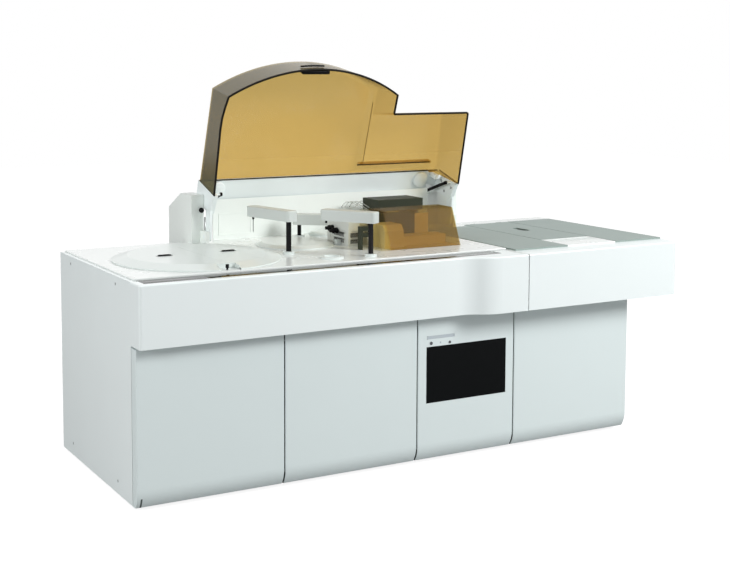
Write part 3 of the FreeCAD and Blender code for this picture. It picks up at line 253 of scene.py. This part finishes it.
bySlot = dict(white_panel=white, pale_column=column, frame_steel=frameGrey, zinc=zinc, steel=black,
              dark_rubber=rubber, dark_button=button, well_plastic=wellPale, bottle_plastic=bottle,
              cover_plastic=discWhite, module_plastic=module, dark_housing=housing, smoky_gloss=smoky,
              screen_glass=screen, lamp_strip=lamp, amber_tint=amber, brown_tint=brown, gold_panel=gold,
              grey_top=greyTop)
byNode = dict(deck_plate=worktop, right_deck=worktop, keypad_panel=worktop, arm_bushes=discWhite,
              arm_a_cover=armGrey, arm_b_cover=armGrey, arm_c_cover=armGrey,
              door_left=doorWhite, door_middle=doorWhite, door_screen=doorWhite, door_right=doorWhite)
slotOf = {s["node"]: s["material_slot"] for s in frame["record"]["subparts"]}
for name, obj in frame["nodes"].items():
    obj.data.materials.clear()
    obj.data.materials.append(byNode.get(name) or bySlot[slotOf[name]])
print("materials on", len(frame["nodes"]), "nodes")


def mesh(name, verts, faces, material, body, smooth=True):
    # A piece from points in metres and faces, which rides on a body
    data = bpy.data.meshes.new(name)
    data.from_pydata(np.asarray(verts).tolist(), [], [list(map(int, f)) for f in faces])
    data.update()
    data.polygons.foreach_set("use_smooth", np.full(len(data.polygons), smooth))
    data.materials.append(material)
    obj = bpy.data.objects.new(name, data)
    bpy.context.scene.collection.objects.link(obj)
    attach(obj, body)
    return obj


def stackedRings(rows, steps):
    # Quads between neighbouring rings of points, wrapped round, and a flat cap at each end
    r = np.arange(rows - 1)[:, None] * steps
    c = np.arange(steps)[None, :]
    after = (c + 1) % steps
    quads = np.stack([r + c, r + after, r + steps + after, r + steps + c], -1).reshape(-1, 4)
    last = (rows - 1) * steps
    return [list(q) for q in quads] + [list(range(steps))[::-1], list(range(last, last + steps))]


def tube(path, radius, sides):
    # A circle carried along the path, square to it at each point; the guide keeps it from turning
    path = np.asarray(path, float)
    along = np.gradient(path, axis=0)
    along /= np.linalg.norm(along, axis=1, keepdims=True)
    upright = abs(along[:, 2]).max() >= 0.95
    guide = np.array([0.31, 0.95, 0.05]) if upright else np.array([0.0, 0.0, 1.0])
    side = np.cross(along, guide)
    side /= np.linalg.norm(side, axis=1, keepdims=True)
    up = np.cross(side, along)
    a = np.arange(sides) * tau / sides
    circle = side[:, None] * np.cos(a)[None, :, None] + up[:, None] * np.sin(a)[None, :, None]
    verts = (path[:, None] + circle * radius).reshape(-1, 3)
    return verts, [face[::-1] for face in stackedRings(len(path), sides)]


def block(lo, hi):
    # A box between two corners
    x0, y0, z0 = lo
    x1, y1, z1 = hi
    verts = [(x, y, z) for z in (z0, z1) for y in (y0, y1) for x in (x0, x1)]
    faces = [(0, 2, 3, 1), (4, 5, 7, 6), (0, 1, 5, 4), (2, 6, 7, 3), (0, 4, 6, 2), (1, 3, 7, 5)]
    return np.array(verts), faces


def soften(obj, width):
    # Rounds the edges that turn by more than the angle
    m = obj.modifiers.new("soft_edges", "BEVEL")
    m.width = width
    m.segments = 3
    m.limit_method = "ANGLE"
    m.angle_limit = radians(35)
    m.harden_normals = False


def slab(name, lo, hi, material, smooth=False):
    # A fixed box between two drawing places
    verts, faces = block(lo, hi)
    return mesh(name, place(verts), faces, material, "cabinet", smooth)


def turned(name, centre, profile, way, material, body="cabinet", steps=24):
    # A profile of (radius, height) in millimetres turned about the line through the centre along way
    n = np.asarray(way, float)
    n /= np.linalg.norm(n)
    guide = np.array([1.0, 0, 0]) if abs(n[0]) < 0.9 else np.array([0, 1.0, 0])
    u = np.cross(n, guide)
    u /= np.linalg.norm(u)
    v = np.cross(n, u)
    a = np.arange(steps)[:, None] * tau / steps
    circle = u * np.cos(a) + v * np.sin(a)
    verts = np.concatenate([centre + (circle * r + n * h) / 1000 for r, h in profile])
    return mesh(name, verts, stackedRings(len(profile), steps), material, body)


def stretch(points, count):
    # Evenly spaced steps along the points, with straight runs between them
    points = np.asarray(points, float)
    steps = np.linspace(0, len(points) - 1, count)
    return np.stack([np.interp(steps, np.arange(len(points)), points[:, k]) for k in range(3)], -1)


def edgeTube(name, path, radius, material=amberEdge):
    # A thin tube along lid places
    verts, faces = tube(onLid(path), radius / 1000, 8)
    mesh(name, verts, faces, material, "lid")


# Dark trim along the hood's open rim: left wall, arched front, step and right-hand part
rim = dict(radius=5.0, depth=186.0, left=662.0, right=1534.0, top=576.0, stepFoot=482.0,
           crownX=1096.0, crownS=-108.0, bow=810.0, sideTop=478.0, sideCorner=1958.0, sideFoot=(1990.0, 97.0),
           leftEdge=((96, 176), (408, 147), (460, 149), (515, 163.5), (576, 186)))


def archLine(ends, count, radius, depth):
    # Lid places along a circle about the arched front's centre, between two angles
    a = np.linspace(*ends, count)
    return np.stack([rim["crownX"] + radius * np.cos(a), rim["crownS"] + radius * np.sin(a),
                     0 * a + depth], -1)


archEnds = [np.arctan2(rim["top"] - rim["crownS"], rim[end] - rim["crownX"]) for end in ("left", "right")]
leftPath = [(rim["left"], s, d) for s, d in rim["leftEdge"]]
stepPath = [(rim["right"], s, rim["depth"]) for s in (rim["top"], rim["stepFoot"])]
sidePath = ((rim["right"], rim["sideTop"], rim["depth"]), (rim["sideCorner"], rim["sideTop"], rim["depth"]),
            (*rim["sideFoot"], rim["depth"]))
edgeTube("hood_rim_left", stretch(leftPath, 60), rim["radius"])
edgeTube("hood_rim_arch", archLine(archEnds, 60, rim["bow"], rim["depth"]), rim["radius"])
edgeTube("hood_rim_step", stretch(stepPath, 8), rim["radius"])
edgeTube("hood_rim_side", stretch(sidePath, 60), rim["radius"])

# Painted shade: thin dark lines along the crease of the band on the right-hand part and along the step beside
# it
foldShade = dict(band=(3.0, ((1482, 152, 26), (1904, 152, 26))), step=(1.5, ((1515, 156, 22), (1515, 474, 14))))
for name, (radius, ends) in foldShade.items():
    edgeTube("hood_fold_shade_" + name, stretch(ends, 12), radius)

# Dark foot of the hood where it meets the beam
foot = dict(back=((668, 97, 9), (1975, 97, 9)), left=((663, 97, 2), (663, 97, 176)),
            right=((1989, 97, 12), (1989, 97, 184)))
footRadius = 3.0
for name, ends in foot.items():
    edgeTube("hood_foot_" + name, stretch(ends, 12), footRadius)
print("hood trim")

# Round bosses on the lid's beam
boss = dict(profile=((40, 8), (40, 18), (36, 22)), spots=((752.0, 50.0), (1880.0, 50.0)))
lidOut = (0.0, -cos(lid["tilt"]), -sin(lid["tilt"]))
for i, (x, s) in enumerate(boss["spots"]):
    turned("beam_boss_%d" % (i + 1), onLid((x, s, 0)), boss["profile"], lidOut,
           white, "lid", steps=48)

# Screw heads with a hollow middle on the inner sides of both cheeks
cheekScrew = dict(sides=((682.0, 1), (1978.0, -1)), spots=((60.0, 60.0), (60.0, 150.0), (20.0, 100.0)),
                  profile=((7, 0), (7, 1.5), (5.25, 2.5), (2.1, 2.5), (1.75, 1.25)))
count = 0
for x, way in cheekScrew["sides"]:
    for s, d in cheekScrew["spots"]:
        count += 1
        turned("cheek_screw_%d" % count, onLid((x, s, d)), cheekScrew["profile"], (way, 0, 0),
               zinc, "lid")

# Dark handle under the arch, and a black bar on the arched front above it: a painted shadow of the handle
handle = dict(lo=(1010.0, 678.0, 158.0), hi=(1150.0, 695.0, 187.0), soft=0.005)
handleShadow = dict(x=(1022.0, 1142.0), depth=136.0, radius=4.0, proud=1.0)
verts, faces = block(handle["lo"], handle["hi"])
soften(mesh("hood_handle", onLid(verts), faces, black, "lid"), handle["soft"])
shadowEnds = [np.arccos((x - rim["crownX"]) / rim["bow"]) for x in handleShadow["x"]]
shadowPath = archLine(shadowEnds, 24, rim["bow"] + handleShadow["proud"], handleShadow["depth"])
edgeTube("handle_shadow", shadowPath, handleShadow["radius"], black)

# White block on the beam that carries the right stay
bracket = dict(lo=(1935.0, 66.0, 8.0), hi=(1976.0, 94.0, 60.0), soft=0.004)
verts, faces = block(bracket["lo"], bracket["hi"])
soften(mesh("stay_bracket_right", onLid(verts), faces, white, "lid"), bracket["soft"])
print("hood fittings")

# Rubber buffer on the left column
buffer = dict(spot=(640.0, 862.0, 1060.0),
              profile=((5.5, 0), (5.5, 8), (11, 10), (12.1, 18), (8.8, 26), (3.3, 28)))
turned("column_buffer", place(buffer["spot"]), buffer["profile"], (0, -1, 0),
       rubber, steps=32)

# Clear tubes that rise from the gripper housing and come down at the back wall
hose = dict(radius=2.2, starts=(1480.0, 1500.0, 1525.0, 1560.0), y=760.0, z=1010.0,
            left=60.0, sway=25.0, back=160.0, rise=60.0, bend=0.8, drop=20.0)
u = np.linspace(0, 1, 24)
for i, x in enumerate(hose["starts"]):
    path = np.stack([x - hose["left"] * u - hose["sway"] * np.sin(u * pi), hose["y"] + hose["back"] * u,
                     hose["z"] + hose["rise"] * np.sin(u * pi * hose["bend"]) - hose["drop"] * u], -1)
    verts, faces = tube(place(path), hose["radius"] / 1000, 10)
    mesh("clear_tube_%d" % (i + 1), verts, faces, clearTube, "cabinet")

# Dark liners of the cover's finger slots: a raised lip that runs down to a flat floor
grip = dict(x=(296.0, 588.0), y=440.0, half=26.0, end=9.0, steps=48,
            profile=((13.2, 928.2), (12.8, 931), (11, 932), (9.6, 931), (9.2, 927), (9.2, 914), (9.2, 913.5)))
turn = np.linspace(0, tau, grip["steps"], endpoint=False)
apart = np.where(np.cos(turn) > 0, 1, -1) * (grip["half"] - grip["end"])
for i, x in enumerate(grip["x"]):
    rings = [np.stack([x + apart + r * np.cos(turn), grip["y"] + r * np.sin(turn), 0 * turn + z], -1)
             for r, z in grip["profile"]]
    mesh("grip_insert_%d" % (i + 1), place(np.concatenate(rings)), stackedRings(len(rings), grip["steps"]),
         black, "cabinet")

# Pale lining of the notch in the carousel's cover
lining = dict(notch_back=((398, 142.5, 906.3), (486, 145.5, 924.5)),
              notch_left=((396.5, 104, 906.3), (399.5, 142.4, 922)),
              notch_right=((484.5, 104, 906.3), (487.5, 142.4, 922)))
for name, (lo, hi) in lining.items():
    slab(name, lo, hi, discWhite)

# Keys on the right-hand worktop
keypad = dict(x=(2116.0, 2350.0), y=(122.0, 192.0), z=903.0, cols=7, rows=2, margin=2.0, height=2.0,
              soft=0.002)
keyX = np.linspace(*keypad["x"], keypad["cols"] + 1)
keyY = np.linspace(*keypad["y"], keypad["rows"] + 1)
gap = keypad["margin"]
for i in range(keypad["cols"]):
    for j in range(keypad["rows"]):
        key = slab("key_%d_%d" % (i + 1, j + 1), (keyX[i] + gap, keyY[j] + gap, keypad["z"]),
                   (keyX[i + 1] - gap, keyY[j + 1] - gap, keypad["z"] + keypad["height"]),
                   discWhite, smooth=True)
        soften(key, keypad["soft"])

# Small black buffers under the long end of the fascia
stub = dict(spots=((1826.0, -62.0, 652.0), (2200.0, -62.0, 652.0)), profile=((9, 0), (9, 6)))
for i, spot in enumerate(stub["spots"]):
    turned("fascia_stub_%d" % (i + 1), place(spot), stub["profile"], (0, 0, -1), rubber)
print("worktop pieces")

# Thin bright post by the left column
post = dict(x=680.0, y=900.0, z=(906.0, 1020.0), radius=4.0)
verts, faces = tube(place([(post["x"], post["y"], z) for z in post["z"]]), post["radius"] / 1000, 16)
mesh("wall_post", verts, faces, zinc, "cabinet")

# Raised frame on the back wall, as bottom, top, left and right strips
wallFrame = dict(x=(760.0, 930.0), z=(926.0, 1030.0), y=(924.0, 926.0), wide=5.0)
(x0, x1), (z0, z1), wide = wallFrame["x"], wallFrame["z"], wallFrame["wide"]
strips = (((x0, z0), (x1, z0 + wide)), ((x0, z1 - wide), (x1, z1)),
          ((x0, z0 + wide), (x0 + wide, z1 - wide)), ((x1 - wide, z0 + wide), (x1, z1 - wide)))
for i, (lo, hi) in enumerate(strips):
    slab("wall_frame_%d" % (i + 1), (lo[0], wallFrame["y"][0], lo[1]), (hi[0], wallFrame["y"][1], hi[1]),
         column)

# Seal along the wall's top, under the lid's beam
seal = dict(lo=(732.0, 926.0, 1086.0), hi=(1928.0, 932.0, 1096.0))
slab("wall_seal", seal["lo"], seal["hi"], column)

# Slats of the vents on the module's front and left faces, in an upper and a lower row
vent = dict(faceX=1188.0, faceY=447.0, front=(1198.0, 1243.0), side=(488.0, 582.0), slats=6, share=0.3,
            rows=((945.0, 965.0), (917.0, 936.0)), proud=0.6, sunk=1.0)
frontY = (vent["faceY"] - vent["proud"], vent["faceY"] + vent["sunk"])
sideX = (vent["faceX"] - vent["proud"], vent["faceX"] + vent["sunk"])
count = 0
for z0, z1 in vent["rows"]:
    pitch = (z1 - z0) / vent["slats"]
    for k in range(vent["slats"]):
        z = z0 + pitch * (k + 0.5)
        half = pitch * vent["share"]
        for spanX, spanY in ((vent["front"], frontY), (sideX, vent["side"])):
            count += 1
            slab("vent_slat_%d" % count, (spanX[0], spanY[0], z - half), (spanX[1], spanY[1], z + half),
                 rubber)

# Black ribbed couplings on the module's left side
coupling = dict(spots=((1187.0, 550.0, 968.0), (1187.0, 590.0, 976.0)),
                profile=((13.4, 0), (13.4, 8), (10, 9), (10, 14), (13.4, 15), (13.4, 23), (8, 25), (8, 38)))
for i, spot in enumerate(coupling["spots"]):
    turned("coupling_%d" % (i + 1), place(spot), coupling["profile"], (-1, 0, 0),
           black, steps=28)

# Inside of the loader: golden floor and back panel, dark back panel
inside = dict(loader_floor=(gold, "gold_panel", (1296, 256, 906.4), (1652, 432, 909)),
              loader_back=(gold, "gold_panel", (1530, 428, 909), (1604, 432, 1040)),
              loader_dark_back=(housing, "dark_housing", (1296, 428, 909), (1530, 432, 1052)))
for name, (material, slot, lo, hi) in inside.items():
    slab(name, lo, hi, material)

# Black glass on the ledge in front of the worktop
glass = dict(rise=0.007, edge=0.001, soft=0.0012)
ledgeLo, ledgeHi = np.array(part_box("front_ledge"))
verts, faces = block((ledgeLo[0] + glass["edge"], ledgeLo[1] + glass["edge"], ledgeHi[2]),
                     (ledgeHi[0] - glass["edge"], ledgeHi[1] - glass["edge"], ledgeHi[2] + glass["rise"]))
soften(mesh("ledge_glass", verts, faces, smoky, "cabinet"), glass["soft"])
print("module, loader and ledge pieces")

# Camera solved from the photograph's straight edges
camera = dict(place=(-2.9886, -5.0353, 1.7266), turn=(84.997, 0.0, -28.099), lens=62.907, sensor=36.0,
              shift=(0.076, -0.1431), reach=60.0)
cameraData = bpy.data.cameras.new("camera")
cameraData.lens = camera["lens"]
cameraData.sensor_width = camera["sensor"]
cameraData.shift_x, cameraData.shift_y = camera["shift"]
cameraData.clip_end = camera["reach"]
eye = bpy.data.objects.new("camera", cameraData)
eye.location = camera["place"]
eye.rotation_euler = [radians(v) for v in camera["turn"]]
bpy.context.scene.collection.objects.link(eye)
bpy.context.scene.camera = eye

# Lamps: a strong one ahead and to the right, a weak one on the left, faint ones above and behind
lamps = dict(front_lamp=dict(spot=(4.6, -5.4, 5.0), aim=(0.2, 0, 0.8), size=3.0, watts=545.0),
             left_lamp=dict(spot=(-6.4, -1.2, 2.2), aim=(-1.3, 0, 0.6), size=3.5, watts=165.0),
             top_lamp=dict(spot=(0.4, -0.8, 5.0), aim=(0.0, 0.0, 0.9), size=4.0, watts=8.0),
             rear_lamp=dict(spot=(0.5, 5.0, 3.5), aim=(0.3, 0.4, 1.3), size=4.0, watts=20.0))
for name, values in lamps.items():
    light = bpy.data.lights.new(name, "AREA")
    light.shape = "SQUARE"
    light.size = values["size"]
    light.energy = values["watts"]
    obj = bpy.data.objects.new(name, light)
    bpy.context.scene.collection.objects.link(obj)
    obj.location = values["spot"]
    way = np.array(values["aim"]) - np.array(values["spot"])
    way /= np.linalg.norm(way)
    obj.rotation_euler = (np.arccos(-way[2]), 0, np.arctan2(-way[0], way[1]))

# White surroundings for the camera and through glass, a little less in reflections, softer light for the rest
surroundings = dict(glossy=0.85, unseen=0.38)
world = bpy.data.worlds.new("surroundings")
bpy.context.scene.world = world
world.use_nodes = True
back = world.node_tree.nodes["Background"]
seen, shiny, through = Wire(world.node_tree).outputs(
    "ShaderNodeLightPath", ("Is Camera Ray", "Is Glossy Ray", "Is Transmission Ray"))
seen = seen.maths("MAXIMUM", shiny * surroundings["glossy"]).maths("MAXIMUM", through)
(seen * (1 - surroundings["unseen"]) + surroundings["unseen"]).to(back.inputs["Strength"])
back.inputs["Color"].default_value = (1, 1, 1, 1)

# Floor: white to the camera and through glass, keeping the object's shadow
ground = dict(x=(-14, 14), y=(-12, 16), grey=0.3, lift=0.9)
(x0, x1), (y0, y1) = ground["x"], ground["y"]
floorMesh = bpy.data.meshes.new("floor")
floorMesh.from_pydata([(x0, y0, 0), (x1, y0, 0), (x1, y1, 0), (x0, y1, 0)], [], [(0, 1, 2, 3)])
floorMaterial = bpy.data.materials.new("floor_white")
floorMaterial.use_nodes = True
shader = floorMaterial.node_tree.nodes["Principled BSDF"]
shader.inputs["Base Color"].default_value = (ground["grey"], ground["grey"], ground["grey"], 1)
shader.inputs["Roughness"].default_value = 1.0
shader.inputs["Specular IOR Level"].default_value = 0.0
shader.inputs["Emission Color"].default_value = (1, 1, 1, 1)
seen, through = Wire(floorMaterial.node_tree).outputs(
    "ShaderNodeLightPath", ("Is Camera Ray", "Is Transmission Ray"))
(seen.maths("MAXIMUM", through) * ground["lift"]).to(shader.inputs["Emission Strength"])
floorMesh.materials.append(floorMaterial)
floor = bpy.data.objects.new("floor", floorMesh)
bpy.context.scene.collection.objects.link(floor)
bpy.context.scene.view_settings.view_transform = "Standard"
print("camera, lamps, floor")
